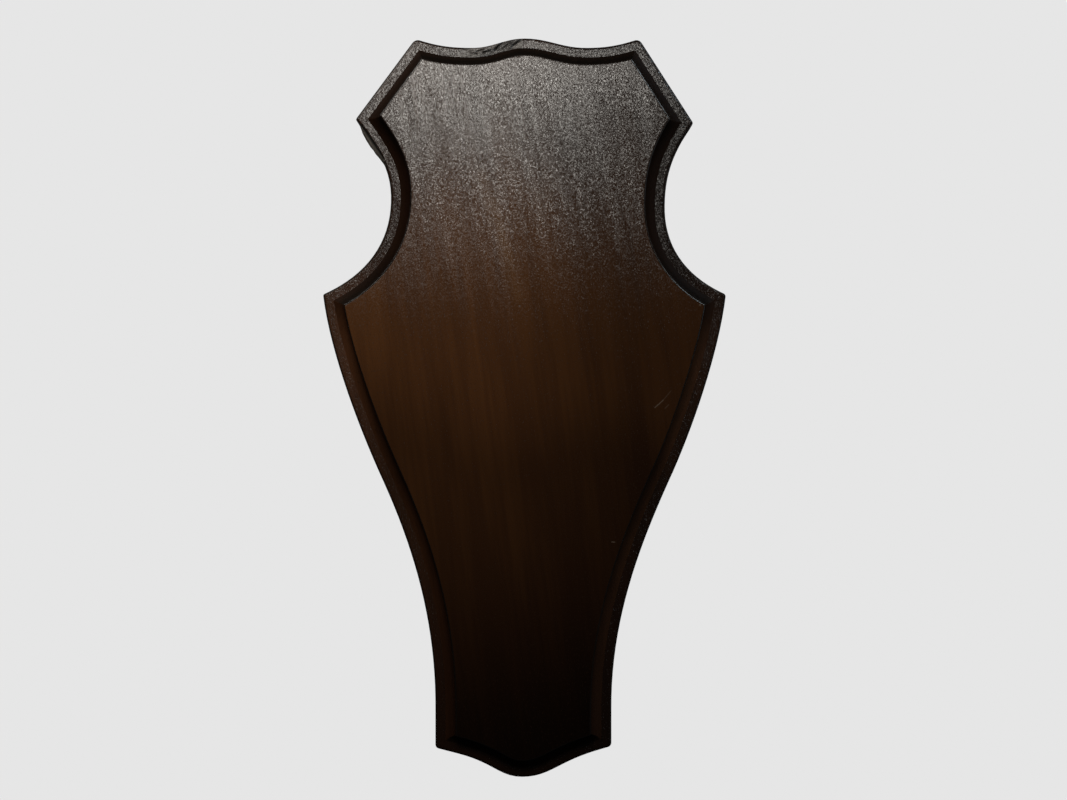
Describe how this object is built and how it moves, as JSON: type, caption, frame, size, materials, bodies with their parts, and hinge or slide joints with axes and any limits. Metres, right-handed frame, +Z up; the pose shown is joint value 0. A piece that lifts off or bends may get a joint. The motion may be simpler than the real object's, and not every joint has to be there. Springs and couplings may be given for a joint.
{
  "type": "trophy mounting plaque",
  "caption": "Shield-shaped dark stained wooden board with a raised field, a coved edge and a keyhole slot in its flat back, to hang on a wall and carry a small trophy.",
  "frame": {"origin": "on the flat back face, on the centre line of the pattern, at half the board's height", "axes": "+X to the right as seen from the front, +Z up, +Y out of the back towards the wall, so the raised field faces -Y"},
  "size_m": [0.131, 0.015, 0.24],
  "materials": {
    "stained_wood": "dark brown stain under a thin satin varnish, with fine open pores"
  },
  "bodies": {
    "root": {"plaque_board": "stained_wood"}
  },
  "joints": []
}
